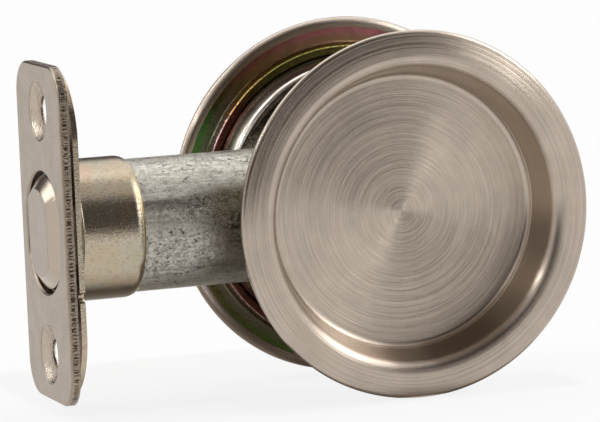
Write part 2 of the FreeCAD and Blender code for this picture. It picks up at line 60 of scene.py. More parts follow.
mm = 0.001  # sizes of pieces and patterns below are millimetres
noiseMean = 0.5
scene = bpy.context.scene
print("frame loaded:", len(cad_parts), "nodes")


class Wire:
    # one socket of a node tree, with plain arithmetic on it
    def __init__(self, tree, socket=None):
        self.tree = tree
        self.socket = socket

    def node(self, kind, settings=None, sockets=None, out=0):
        made = self.tree.nodes.new(kind)
        for name, value in (settings or {}).items():
            if name == "stops":
                self.setStops(made.color_ramp, value)
            else:
                setattr(made, name, value)
        for name, value in (sockets or {}).items():
            if isinstance(value, Wire):
                self.tree.links.new(value.socket, made.inputs[name])
            else:
                made.inputs[name].default_value = value
        return Wire(self.tree, made.outputs[out]) if made.outputs else made

    @staticmethod
    def setStops(ramp, stops):
        while len(ramp.elements) < len(stops):
            ramp.elements.new(1.0)
        for element, (place, colour) in zip(ramp.elements, stops):
            element.position = place
            element.color = (*colour, 1.0)

    def out(self, name):
        return Wire(self.tree, self.socket.node.outputs[name])

    def maths(self, operation, *values):
        return self.node("ShaderNodeMath", {"operation": operation}, dict(enumerate(values)))

    def vector(self, operation, *values, out=0):
        return self.node("ShaderNodeVectorMath", {"operation": operation}, dict(enumerate(values)), out)

    def scale(self, amount):
        return self.node("ShaderNodeVectorMath", {"operation": "SCALE"}, {0: self, "Scale": amount})

    def mix(self, factor, first, second):  # colours are wires or (red, green, blue)
        first, second = (c if isinstance(c, Wire) else (*c, 1.0) for c in (first, second))
        return self.node("ShaderNodeMix", {"data_type": "RGBA"}, {0: factor, 6: first, 7: second}, 2)

    def ramp(self, stops):
        return self.node("ShaderNodeValToRGB", {"stops": stops}, {0: self})

    def split(self):
        parts = self.node("ShaderNodeSeparateXYZ", None, {0: self})
        return parts, parts.out("Y"), parts.out("Z")

    def combine(self, x, y, z):
        return self.node("ShaderNodeCombineXYZ", None, {0: x, 1: y, 2: z})

    def step(self, low, high):  # 0 below low, 1 above high, smooth between
        ends = {"Value": self, "From Min": low, "From Max": high}
        return self.node("ShaderNodeMapRange", {"interpolation_type": "SMOOTHSTEP"}, ends)

    def near(self, place, full, none):  # 1 within full of the place, 0 beyond none
        return 1.0 - abs(self - place).step(full, none)

    def stretch(self, *amounts):
        return self.vector("MULTIPLY", self, amounts)

    def noise(self, scale, detail, roughness=0.55):
        sockets = {"Vector": self, "Scale": scale, "Detail": detail, "Roughness": roughness}
        return self.node("ShaderNodeTexNoise", {"noise_type": "FBM"}, sockets)

    def __add__(self, other): return self.maths("ADD", self, other)
    def __radd__(self, other): return self.maths("ADD", other, self)
    def __sub__(self, other): return self.maths("SUBTRACT", self, other)
    def __rsub__(self, other): return self.maths("SUBTRACT", other, self)
    def __mul__(self, other): return self.maths("MULTIPLY", self, other)
    def __rmul__(self, other): return self.maths("MULTIPLY", other, self)
    def __truediv__(self, other): return self.maths("DIVIDE", self, other)
    def __abs__(self): return self.maths("ABSOLUTE", self)
    def __pow__(self, other): return self.maths("POWER", self, other)
    def most(self, other): return self.maths("MAXIMUM", self, other)


def newMaterial(name, metallic, roughness):
    mat = bpy.data.materials.new(name)
    mat.use_nodes = True
    shader = mat.node_tree.nodes["Principled BSDF"]
    shader.inputs["Metallic"].default_value = metallic
    shader.inputs["Roughness"].default_value = roughness
    return mat, Wire(mat.node_tree), shader


def feed(shader, baseColor, roughness, normal):
    for name, wire in (("Base Color", baseColor), ("Roughness", roughness), ("Normal", normal)):
        wire.tree.links.new(wire.socket, shader.inputs[name])


def bump(g, height, distance):
    return g.node("ShaderNodeBump", None, {"Height": height, "Distance": distance * mm, "Strength": 1.0})


def inMillimetres(g):
    return g.node("ShaderNodeTexCoord", None, None, "Object").scale(1 / mm)


def surfaceNormal(g):
    return g.node("ShaderNodeNewGeometry", None, None, "Normal")


# finishes: a noise is (scale per mm, detail, roughness), a pair is where a soft step starts and ends,
# and a gain is how far one tone goes over to the next

nickelLook = {
    "tone": (0.53, 0.45, 0.376), "darkTone": (0.395, 0.332, 0.274), "darkShare": 0.4,
    "backTone": (0.66, 0.60, 0.53), "backShadeTone": (0.06, 0.05, 0.035),
    "roughness": 0.22, "cloudRoughness": 0.10, "backPolish": 0.06,
    "fine": (0.007, 0.5, 1.0), "line": (0.13, 1.2, 2.0), "band": (1.1, 0.8, 2.0),  # width, arc, detail
    "fineSlope": 1.6, "lineSlope": 0.02, "bandSlope": 0.008, "wallStrokes": 0.6,
    "lineContrast": 1.5, "bandContrast": 0.2, "cloud": (0.16, 3.0), "cloudContrast": 0.8,
    "backTurn": (0.0, 0.25), "backReach": (25.3, 25.5), "flatTurn": (0.55, 0.92),
    "speckle": (3.4, 3.0, 0.6), "speckleRange": (0.42, 0.60), "speckleGain": 0.5, "backShadeGain": 0.35,
}


def brushedNickel(name, look):
    # satin nickel brushed round the Y axis: every stroke tilts the surface along the meridian
    mat, g, shader = newMaterial(name, 1.0, look["roughness"])
    point = inMillimetres(g)
    normal = surfaceNormal(g)
    x, y, z = point.split()
    flat = g.combine(x, 0.0, z)
    radius = g.vector("LENGTH", flat, out="Value")
    around = g.vector("NORMALIZE", g.vector("CROSS_PRODUCT", (0.0, 1.0, 0.0), flat))
    meridian = g.vector("CROSS_PRODUCT", normal, around)
    along = radius + abs(y)
    aroundX, aroundZ = around.split()[::2]

    def strokes(width, arc, detail):
        return g.combine(along / width, aroundX * arc, aroundZ * arc).noise(1.0, detail)

    fine, line, band = (strokes(*look[kind]) - noiseMean for kind in ("fine", "line", "band"))
    ny = normal.split()[1]
    spread = fine * look["fineSlope"] * (abs(ny) * (1 - look["wallStrokes"]) + look["wallStrokes"])
    slope = spread + line * look["lineSlope"] + band * look["bandSlope"]
    facesDoor = 0.0 - ny * y / abs(y)
    backSide = facesDoor.step(*look["backTurn"]) * (1.0 - radius.step(*look["backReach"]))  # never brushed
    push = meridian.scale(slope * (1.0 - backSide))
    tilted = g.vector("NORMALIZE", g.vector("ADD", normal, push))
    cloud = point.noise(*look["cloud"]) - noiseMean
    shade = line * look["lineContrast"] + band * look["bandContrast"] + cloud * look["cloudContrast"]
    tone = g.mix((shade + look["darkShare"]).step(0.0, 1.0), look["tone"], look["darkTone"])
    speckle = point.noise(*look["speckle"]).step(*look["speckleRange"])
    # the back of the bowl's floor, in the gap between the cups, is painted dark with specks: painted shade
    # and dark reflection
    shadedFlatBack = backSide * facesDoor.step(*look["flatTurn"])
    tone = g.mix(backSide, tone, look["backTone"])
    tone = g.mix(shadedFlatBack * (speckle * look["speckleGain"] + look["backShadeGain"]), tone, look["backShadeTone"])
    rough = look["roughness"] + cloud * look["cloudRoughness"] - backSide * look["backPolish"]
    feed(shader, tone, rough, tilted)
    return mat


plateLook = {
    "tone": (0.385, 0.315, 0.246), "darkTone": (0.275, 0.222, 0.170), "edgeTone": (0.06, 0.048, 0.036),
    "burnishAndHighlightTone": (0.50, 0.425, 0.35), "darkShare": 0.4, "bump": 0.035, "relief": 0.6,
    "roughness": 0.30, "grainRoughness": 0.2, "drawnPolish": 0.15,
    "grain": (3.6, 3.0, 0.65), "grainContrast": 1.9, "cloud": (0.25, 3.0), "cloudContrast": 1.2,
    "specks": (2.6, 2.0), "speckRange": (0.68, 0.76), "speckGain": 0.45,
    "face": -60.33, "halfWidth": 12.7, "halfHeight": 28.575, "corner": 6.0,
    "edgeBand": (-0.25, -0.12), "edgeTurn": (-0.45, -0.2), "sideTurn": (0.3, 0.7), "edgeGain": 0.5,
    "shearPitch": 0.62, "shearFrom": 0.46, "shearTo": 1.22, "shearFade": 0.1, "shearDrift": 3.4,
    "uneven": (1.0, 2.0), "unevenStretch": (0.0, 0.9, 0.9), "rungRange": (-0.25, 0.3),
    "ragged": (1.0, 2.0), "raggedStretch": (1.5, 2.2, 2.2), "raggedStart": 0.5, "raggedEnd": 0.9,
    "raggedRungs": 3.6, "raggedShift": 0.35, "raggedRange": (0.2, 0.8),
    "markGain": 0.95, "markRelief": 5.0, "raggedRelief": 4.0,
    "dimplePlace": 20.65, "dimpleRadius": 5.2, "dimpleFade": 0.25,
    "streaks": (1.2, 3.0), "streakStretch": (0.4, 2.4, 0.5), "streakShift": 0.3, "streakRange": (0.3, 0.9),
    "streakRelief": 5.0, "bevelTurn": (-0.97, -0.85), "bevelLightGain": 0.8,
}
pullLook = {**plateLook, "tone": (0.35, 0.282, 0.220), "roughness": 0.22}


def shearMarks(g, look, point, normal):
    # the plate's cut edge, its unevenness, and the short dark rungs that the shear left along it
    x, y, z = point.split()
    nx, ny, nz = normal.split()
    side = (abs(y) - (look["halfWidth"] - look["corner"])).most(0.0)
    end = (abs(z) - (look["halfHeight"] - look["corner"])).most(0.0)
    outline = (side * side + end * end) ** 0.5 - look["corner"]
    edge = outline.step(*look["edgeBand"]) * nx.step(*look["edgeTurn"])
    run = z * abs(ny).step(*look["sideTurn"]) + y * abs(nz).step(*look["sideTurn"])  # along the outline
    uneven = point.stretch(*look["unevenStretch"]).noise(*look["uneven"])
    rungs = g.maths("SINE", (run / look["shearPitch"] + uneven * look["shearDrift"]) * (2 * math.pi))
    depth = x - look["face"]
    ragged = point.stretch(*look["raggedStretch"]).noise(*look["ragged"]) - noiseMean
    fade, start, stop = look["shearFade"], look["shearFrom"], look["shearTo"]
    torn = (depth + ragged * look["raggedStart"]).step(start, start + fade)
    torn = torn * (1.0 - (depth + ragged * look["raggedEnd"]).step(stop - fade, stop + fade))
    marks = edge * torn * (rungs + ragged * look["raggedRungs"]).step(*look["rungRange"])
    return edge, ragged, marks


def drawnDimples(look, point):
    # the round hollows for the screw heads, streaked by the punch
    y, z = point.split()[1:]
    up = abs(z) - look["dimplePlace"]
    fromHole = (y * y + up * up) ** 0.5
    drawn = 1.0 - fromHole.step(look["dimpleRadius"] - look["dimpleFade"], look["dimpleRadius"])
    return drawn, point.stretch(*look["streakStretch"]).noise(*look["streaks"])


def plateNickel(name, look, sheared):
    # satin nickel with a fine pebbled grain, for the plate (sheared and dimpled) and for the pull (bevelled)
    mat, g, shader = newMaterial(name, 1.0, look["roughness"])
    point = inMillimetres(g)
    normal = surfaceNormal(g)
    grain = point.noise(*look["grain"])
    cloud = point.noise(*look["cloud"])
    specks = point.noise(*look["specks"]).step(*look["speckRange"])
    shade = (cloud - noiseMean) * look["cloudContrast"] + (grain - noiseMean) * look["grainContrast"]
    tone = g.mix((shade + look["darkShare"]).step(0.0, 1.0), look["tone"], look["darkTone"])
    tone = g.mix(specks * look["speckGain"], tone, look["edgeTone"])
    rough = look["roughness"] + (grain - noiseMean) * look["grainRoughness"]
    relief = grain * look["relief"] + cloud * look["relief"]
    if sheared:
        edge, ragged, marks = shearMarks(g, look, point, normal)
        dull = edge * (ragged + look["raggedShift"]).step(*look["raggedRange"])
        tone = g.mix(dull * look["edgeGain"], tone, look["darkTone"])
        tone = g.mix(marks * look["markGain"], tone, look["edgeTone"])
        relief = relief - marks * look["markRelief"] + edge * ragged * look["raggedRelief"]
        drawn, streaks = drawnDimples(look, point)
        rough = rough - drawn * look["drawnPolish"]
        bright = drawn * (streaks + look["streakShift"]).step(*look["streakRange"])
        tone = g.mix(bright, tone, look["burnishAndHighlightTone"])
        relief = relief + drawn * streaks * look["streakRelief"]
    else:
        paintedBevelLight = normal.split()[0].step(*look["bevelTurn"])  # the slopes are painted lighter than the face: a painted highlight
        tone = g.mix(paintedBevelLight * look["bevelLightGain"], tone, look["burnishAndHighlightTone"])
    feed(shader, tone, rough, bump(g, relief, look["bump"]))
    return mat


goldLook = {
    "tints": [(0.30, (0.43, 0.42, 0.255)), (0.44, (0.48, 0.42, 0.335)),  # green, pale
              (0.55, (0.50, 0.415, 0.295)), (0.70, (0.52, 0.38, 0.31))],  # gold, pink
    "dark": (0.14, 0.11, 0.065), "shade": (0.06, 0.05, 0.03), "glint": (0.80, 0.70, 0.56),
    "endHighlightTone": (0.62, 0.49, 0.26), "end": (-46.6, -46.1), "endHighlightGain": 0.7,
    "tint": (0.13, 2.0), "grain": (3.4, 3.0, 0.7), "mottle": (1.1, 3.0, 0.6), "tintMottle": 0.18,
    "drawn": (4.2, 3.0, 0.7), "drawnStretch": (0.35, 1.0, 1.0), "drawnMottle": 0.4,
    "drawnRange": (0.50, 0.72), "drawnGain": 0.42,
    "speckle": (3.0, 3.0, 0.75), "speckleRange": (0.40, 0.62),
    "shoulderTurn": (0.12, 0.32), "shoulder": (0.2, 0.2, 0.55), "shoulderGain": 0.75,  # middle, full, none
    "awayMiddle": 0.12, "awayRange": (0.58, 0.90), "awayShadeGain": 0.60,
    "facingTurn": (0.2, 0.5), "facing": (0.22, 0.16, 0.42), "facingShade": 0.12, "facingGlint": 0.34,
    "roughness": 0.19, "mottleRoughness": 0.12, "bump": 0.026, "grainRelief": 0.9, "mottleRelief": 0.4,
}


def paleGoldZinc(name, look):
    # yellow zinc worn thin on the drawn collar and flange: pale gold with faint green and pink, and on the
    # collar painted shade, painted dark reflections and a painted highlight
    mat, g, shader = newMaterial(name, 1.0, look["roughness"])
    point = inMillimetres(g)
    grain = point.noise(*look["grain"])
    mottle = point.noise(*look["mottle"])
    tone = (point.noise(*look["tint"]) + (mottle - noiseMean) * look["tintMottle"]).ramp(look["tints"])
    drawn = point.stretch(*look["drawnStretch"]).noise(*look["drawn"])  # streaks along the collar
    streaks = (drawn + (mottle - noiseMean) * look["drawnMottle"]).step(*look["drawnRange"])
    tone = g.mix(streaks * look["drawnGain"], tone, look["dark"])
    nx, ny, nz = surfaceNormal(g).split()
    # a painted dark reflection across the collar's rounded shoulder
    shoulder = nx.step(*look["shoulderTurn"]) * nz.near(*look["shoulder"])
    tone = g.mix(shoulder * look["shoulderGain"], tone, look["shade"])
    # the top and the underside of the collar are painted darker: painted shade
    paintedTopAndFootShade = abs(nz - look["awayMiddle"]).step(*look["awayRange"])
    tone = g.mix(paintedTopAndFootShade * look["awayShadeGain"], tone, look["dark"])
    # where the collar faces forward at mid height, a painted dark reflection band dotted with painted glints
    speckle = point.noise(*look["speckle"]).step(*look["speckleRange"])
    facing = nz.near(*look["facing"]) * (0.0 - ny).step(*look["facingTurn"])
    tone = g.mix(facing * (1.0 - speckle) * look["facingShade"], tone, look["shade"])
    tone = g.mix(facing * speckle * look["facingGlint"], tone, look["glint"])
    # a painted highlight: a bright gold line along the collar's end rim
    tone = g.mix(point.split()[0].step(*look["end"]) * look["endHighlightGain"], tone, look["endHighlightTone"])
    rough = look["roughness"] + (mottle - noiseMean) * look["mottleRoughness"]
    relief = drawn + grain * look["grainRelief"] + mottle * look["mottleRelief"]
    feed(shader, tone, rough, bump(g, relief, look["bump"]))
    return mat


rainbowLook = {
    "round": [(0.00, (0.13, 0.24, 0.06)), (0.14, (0.15, 0.19, 0.05)), (0.25, (0.21, 0.19, 0.06)),
              (0.48, (0.18, 0.27, 0.10)), (0.72, (0.09, 0.32, 0.07)), (0.80, (0.06, 0.09, 0.02)),
              (0.87, (0.15, 0.09, 0.04)), (0.93, (0.30, 0.105, 0.09)), (1.00, (0.46, 0.18, 0.20))],
    "hub": [(0.35, (0.86, 0.62, 0.60)), (0.70, (0.90, 0.62, 0.66)), (0.80, (0.82, 0.42, 0.20)),
            (0.87, (0.70, 0.47, 0.17)), (0.96, (0.50, 0.45, 0.13))],
    "greyPink": (0.27, 0.22, 0.185), "greyGain": 0.65, "oliveGold": (0.23, 0.20, 0.06), "oliveGain": 0.55,
    "maroon": (0.19, 0.065, 0.045), "olive": (0.13, 0.11, 0.03), "dark": (0.03, 0.025, 0.015),
    "cloud": (0.12, 2.0), "cloudDrift": 0.16, "blotch": (0.6, 3.0), "blotchDrift": 0.07,
    "inner": (27.8, 29.0), "innerDrift": 1.2, "upper": (0.78, 0.92),
    "hubEnd": 15.25, "face": 17.15, "hubFade": (-0.5, -0.2), "endFade": (0.05, 0.2), "endTurn": (0.75, 0.92),
    "grain": (5.0, 2.0), "grainRange": (0.56, 0.75), "grainGain": 0.6,
    "sparkle": (2.8, 2.0), "sparkleRange": (0.46, 0.62), "sparkleFade": (-0.2, 0.0), "sparkleGain": 0.65,
    "roughness": 0.22, "blotchRoughness": 0.2, "bump": 0.05, "grainRelief": 1.4,
}


def rainbowZinc(name, look):
    # yellow chromate on the backing rings: the film's colour turns with the place round the ring
    mat, g, shader = newMaterial(name, 1.0, look["roughness"])
    point = inMillimetres(g)
    x, y, z = point.split()
    ny = surfaceNormal(g).split()[1]
    radius = g.vector("LENGTH", g.combine(x, 0.0, z), out="Value")
    fromFace, fromEnd = abs(y) - look["face"], abs(y) - look["hubEnd"]
    blotch = point.noise(*look["blotch"])
    grain = point.noise(*look["grain"])
    height = z / radius * 0.5 + 0.5  # 0 at the foot of the ring, 1 at its top
    cloud = point.noise(*look["cloud"])
    place = height + (cloud - noiseMean) * look["cloudDrift"] + (blotch - noiseMean) * look["blotchDrift"]
    tone = place.ramp(look["round"])
    inner = 1.0 - (radius + (blotch - noiseMean) * look["innerDrift"]).step(*look["inner"])
    upper = place.step(*look["upper"])
    tone = g.mix(inner * (1.0 - upper) * look["greyGain"], tone, look["greyPink"])
    tone = g.mix(inner * upper * look["oliveGain"], tone, look["oliveGold"])
    tone = g.mix(1.0 - fromFace.step(*look["hubFade"]), tone, place.ramp(look["hub"]))
    endFace = (1.0 - fromEnd.step(*look["endFade"])) * abs(ny).step(*look["endTurn"])
    tone = g.mix(endFace, tone, g.mix(upper, look["maroon"], look["olive"]))
    sparkle = point.noise(*look["sparkle"]).step(*look["sparkleRange"])
    sparkle = sparkle * (1.0 - fromFace.step(*look["sparkleFade"]))
    specks = (grain.step(*look["grainRange"]) * look["grainGain"]).most(sparkle * look["sparkleGain"])
    tone = g.mix(specks, tone, look["dark"])
    rough = look["roughness"] + (blotch - noiseMean) * look["blotchRoughness"]
    feed(shader, tone, rough, bump(g, grain * look["grainRelief"] + blotch, look["bump"]))
    return mat


tubeLook = {
    "light": (0.56, 0.54, 0.475), "mid": (0.385, 0.365, 0.315), "dark": (0.08, 0.07, 0.056),
    "cupShadeBrown": (0.16, 0.135, 0.095), "lightShare": 0.5,
    "cloud": (0.5, 4.0, 0.65), "cloudContrast": 2.6,
    "drawn": (1.6, 4.0, 0.65), "drawnStretch": (0.10, 1.0, 1.0), "drawnContrast": 2.6,
    "pits": (1.2, 4.0, 0.72), "pitRange": (0.58, 0.65), "pitGain": 0.8,
    "fine": (4.0, 3.0, 0.75), "fineRange": (0.54, 0.78), "fineGain": 0.4,
    "scratch": (3.2, 3.0, 0.6), "scratchStretch": (0.22, 1.0, 1.0), "scratchRange": (0.60, 0.70),
    "scratchGain": 0.35,
    "crackle": (0.9, 4.0, 0.7), "crackleRange": (0.0, 0.035), "crackleGain": 0.22,
    "brownReach": (-38.0, -31.0), "brownDrift": 6.0, "brownTop": (0.5, 0.66), "brownFoot": (-0.85, -0.6),
    "cupShadeGain": 0.8, "darkReflectionBand": (4.4, 0.3, 1.3),  # height, full, none
    "streakDrift": 1.5, "streakTurn": (0.5, 0.8), "reflectionBandGain": 0.6,
    "roughness": 0.30, "cloudRoughness": 0.25, "pitRoughness": 0.15, "bump": 0.045,
    "cloudRelief": 1.2, "pitRelief": 1.4, "fineRelief": 0.9, "drawnRelief": 1.6, "crackleRelief": 0.8,
}


def galvanizedSteel(name, look):
    # hot zinc on the tube: cloudy grey spangle, dark pits, and scratches drawn along the tube, with painted
    # shade beside the cup and a painted dark reflection band along its front
    mat, g, shader = newMaterial(name, 1.0, look["roughness"])
    point = inMillimetres(g)
    x, z = point.split()[::2]
    cloud = point.noise(*look["cloud"])
    pits = point.noise(*look["pits"]).step(*look["pitRange"])
    fine = point.noise(*look["fine"])
    drawn = point.stretch(*look["drawnStretch"]).noise(*look["drawn"])
    scratch = point.stretch(*look["scratchStretch"]).noise(*look["scratch"]).step(*look["scratchRange"])
    crackle = abs(point.noise(*look["crackle"]) - noiseMean).step(*look["crackleRange"])
    shade = (cloud - noiseMean) * look["cloudContrast"] + (drawn - noiseMean) * look["drawnContrast"]
    tone = g.mix((shade + look["lightShare"]).step(0.0, 1.0), look["mid"], look["light"])
    ny, nz = surfaceNormal(g).split()[1:]
    # painted shade: the tube is painted brown and dark beside the front cup, for the cup's shadow and dark
    # reflection
    paintedShadeBesideCup = (x + (cloud - noiseMean) * look["brownDrift"]).step(*look["brownReach"])
    paintedShadeBesideCup = paintedShadeBesideCup * (1.0 - nz.step(*look["brownTop"]))
    tone = g.mix(paintedShadeBesideCup * nz.step(*look["brownFoot"]) * look["cupShadeGain"], tone, look["cupShadeBrown"])
    # a painted dark reflection band along the tube's forward face
    darkReflectionBand = (z + (drawn - noiseMean) * look["streakDrift"]).near(*look["darkReflectionBand"])
    darkReflectionBand = darkReflectionBand * (0.0 - ny).step(*look["streakTurn"])
    tone = g.mix(darkReflectionBand * (1.0 - paintedShadeBesideCup) * look["reflectionBandGain"], tone, look["dark"])
    marks = (pits * look["pitGain"]).most(scratch * look["scratchGain"])
    tone = g.mix(marks.most((1.0 - crackle) * look["crackleGain"]), tone, look["dark"])
    tone = g.mix(fine.step(*look["fineRange"]) * look["fineGain"], tone, look["dark"])
    rough = look["roughness"] + (cloud - noiseMean) * look["cloudRoughness"] + pits * look["pitRoughness"]
    relief = cloud * look["cloudRelief"] - pits * look["pitRelief"] + fine * look["fineRelief"]
    relief = relief + drawn * look["drawnRelief"] + crackle * look["crackleRelief"]
    feed(shader, tone, rough, bump(g, relief, look["bump"]))
    return mat


wireLook = {
    "tone": (0.30, 0.30, 0.31), "darkTone": (0.16, 0.15, 0.15), "metallic": 1.0, "grain": (3.0, 3.0),
    "darkRange": (0.4, 0.7), "roughness": 0.25, "grainRoughness": 0.2, "bump": 0.01,
}
acetalLook = {
    "tone": (0.015, 0.015, 0.017), "darkTone": (0.035, 0.034, 0.034), "metallic": 0.0, "grain": (2.5, 3.0),
    "darkRange": None, "roughness": 0.38, "grainRoughness": 0.2, "bump": 0.02,
}


def grained(name, look):
    # an even finish with one fine grain: drawn spring wire, moulded acetal
    mat, g, shader = newMaterial(name, look["metallic"], look["roughness"])
    grain = inMillimetres(g).noise(*look["grain"])
    share = grain.step(*look["darkRange"]) if look["darkRange"] else grain
    tone = g.mix(share, look["tone"], look["darkTone"])
    feed(shader, tone, look["roughness"] + grain * look["grainRoughness"], bump(g, grain, look["bump"]))
    return mat


finishes = {
    "cup": brushedNickel("cup_satin_nickel", nickelLook),
    "plate": plateNickel("plate_satin_nickel", plateLook, True),
    "pull": plateNickel("pull_satin_nickel", pullLook, False),
    "gold": paleGoldZinc("flange_pale_gold_zinc", goldLook),
    "rainbow": rainbowZinc("ring_yellow_zinc", rainbowLook),
    "tube": galvanizedSteel("tube_galvanized", tubeLook),
    "spring": grained("spring_wire", wireLook),
    "acetal": grained("moulded_acetal", acetalLook),
}
print("finishes made:", len(finishes))


# pieces turned about the cups' axis

latheSizes = {
    "mergeDistance": 0.001, "sharpAngle": 32, "rippleScale": 1.6, "rippleSeed": 3.0, "rippleDetail": 1.0,
    "rippleDepth": 40.0, "rippleFrom": 4.0, "rippleTo": 12.0,
}


def latheTree(s):
    # turns the object's own chain of points (x is radius, y is depth) about Y
    tree = bpy.data.node_groups.new("turnedAboutY", "GeometryNodeTree")
    face = tree.interface
    face.new_socket("Profile", in_out="INPUT", socket_type="NodeSocketGeometry")
    face.new_socket("Steps", in_out="INPUT", socket_type="NodeSocketInt")
    for name, value in (("Ripple", 0.0), ("Ripple Scale", s["rippleScale"]), ("Seed", s["rippleSeed"])):
        face.new_socket(name, in_out="INPUT", socket_type="NodeSocketFloat").default_value = value
    face.new_socket("Finish", in_out="INPUT", socket_type="NodeSocketMaterial")
    face.new_socket("Turned", in_out="OUTPUT", socket_type="NodeSocketGeometry")
    g = Wire(tree)
    given = g.node("NodeGroupInput")
    profile, steps = given.out("Profile"), given.out("Steps")
    rows = steps + 1.0
    count = g.node("GeometryNodeAttributeDomainSize", {"component": "MESH"}, {0: profile}, "Point Count")
    grid = g.node("GeometryNodeMeshGrid", None, {"Vertices X": count, "Vertices Y": rows})
    index = g.node("GeometryNodeInputIndex")
    place = g.maths("FLOOR", (index + 0.25) / rows)  # the quarter keeps whole numbers clear of rounding
    turn = (index - place * rows) / steps * (2 * math.pi)
    spot = g.node("GeometryNodeInputPosition")
    sample = g.node("GeometryNodeSampleIndex", {"data_type": "FLOAT_VECTOR", "domain": "POINT"},
                    {"Geometry": profile, "Value": spot, "Index": place})
    radius, depth = sample.split()[:2]
    cosine, sine = g.maths("COSINE", turn), g.maths("SINE", turn)
    around = g.combine(cosine, depth * s["rippleDepth"], sine)
    wobble = g.node("ShaderNodeTexNoise", {"noise_dimensions": "4D"}, {
        "Vector": around, "W": given.out("Seed"), "Scale": given.out("Ripple Scale"),
        "Detail": s["rippleDetail"]})
    outer = radius.step(s["rippleFrom"] * mm, s["rippleTo"] * mm)
    pushed = radius + (wobble - noiseMean) * given.out("Ripple") * outer
    turned = g.node("GeometryNodeSetPosition", None,
                    {"Geometry": grid, "Position": g.combine(pushed * cosine, depth, pushed * sine)})
    closed = g.node("GeometryNodeMergeByDistance", None,
                    {"Geometry": turned, "Distance": s["mergeDistance"] * mm})
    smooth = g.node("GeometryNodeSetShadeSmooth", None, {"Geometry": closed})
    real = g.node("GeometryNodeRealizeInstances", None, {"Geometry": smooth})
    dressed = g.node("GeometryNodeSetMaterial", None, {"Geometry": real, "Material": given.out("Finish")})
    g.node("NodeGroupOutput", None, {"Turned": dressed})
    return tree


def profileArc(centre, radius, start, end, count):
    points = []
    for index in range(count + 1):
        angle = math.radians(start + (end - start) * index / count)
        points.append((centre[0] + radius * math.cos(angle), centre[1] + radius * math.sin(angle)))
    return points


def plain(obj):  # what the modifiers make becomes the object's own mesh
    bpy.context.view_layer.update()
    made = bpy.data.meshes.new_from_object(obj.evaluated_get(bpy.context.evaluated_depsgraph_get()))
    obj.modifiers.clear()
    obj.data = made
    made.name = obj.name


def runTree(obj, tree, values):
    modifier = obj.modifiers.new("build", "NODES")
    modifier.node_group = tree
    for item in tree.interface.items_tree:
        if item.item_type == "SOCKET" and item.name in values:
            modifier[item.identifier] = values[item.name]
    plain(obj)


def newObject(name, data):
    obj = bpy.data.objects.new(name, data)
    scene.collection.objects.link(obj)
    return obj


def tidyShell(mesh, sharpAngle):
    bm = bmesh.new()
    bm.from_mesh(mesh)
    bmesh.ops.recalc_face_normals(bm, faces=bm.faces)
    bm.to_mesh(mesh)
    bm.free()
    mesh.set_sharp_from_angle(angle=math.radians(sharpAngle))


turning = latheTree(latheSizes)


def lathe(name, points, side, finish, steps, ripple=0.0):
    mesh = bpy.data.meshes.new(name)
    mesh.from_pydata([(r * mm, side * t * mm, 0.0) for r, t in points],
                     [(i, i + 1) for i in range(len(points) - 1)], [])
    obj = newObject(name, mesh)
    runTree(obj, turning, {"Steps": steps, "Ripple": ripple * mm, "Finish": finish})
    tidyShell(obj.data, latheSizes["sharpAngle"])
    return obj


def settle(obj, node, body):
    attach(obj, body)
    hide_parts(node)


cupSizes = {  # depth is the distance from the middle of the door
    "floorDepth": 11.2, "sheet": 0.5, "wallFoot": 23.5, "wallFootDepth": 12.0, "draft": 15.0, "lip": 2.3,
    "rimTop": 18.9, "rimFall": 0.35, "rimCurve": 1.7, "rim": 31.3, "rimRound": 0.75,
    "seat": 16.65, "hem": 1.8, "hemEdge": 0.12, "scribe": 0.2, "scribeDepth": 0.07,
    "floorRows": (0.0, 0.5, 1.5, 3, 5, 8, 11, 14, 17, 20, 21.5), "backRows": (20, 14, 8, 3, 0.0),
    "wallRows": 4, "rimRows": 8, "filletSteps": 8, "lipSteps": 14, "rimSteps": 12, "hemSteps": 8,
    "hemEdgeSteps": 3, "lipBackSteps": 10, "backSteps": 12, "steps": 256, "ripple": 0.012,
}


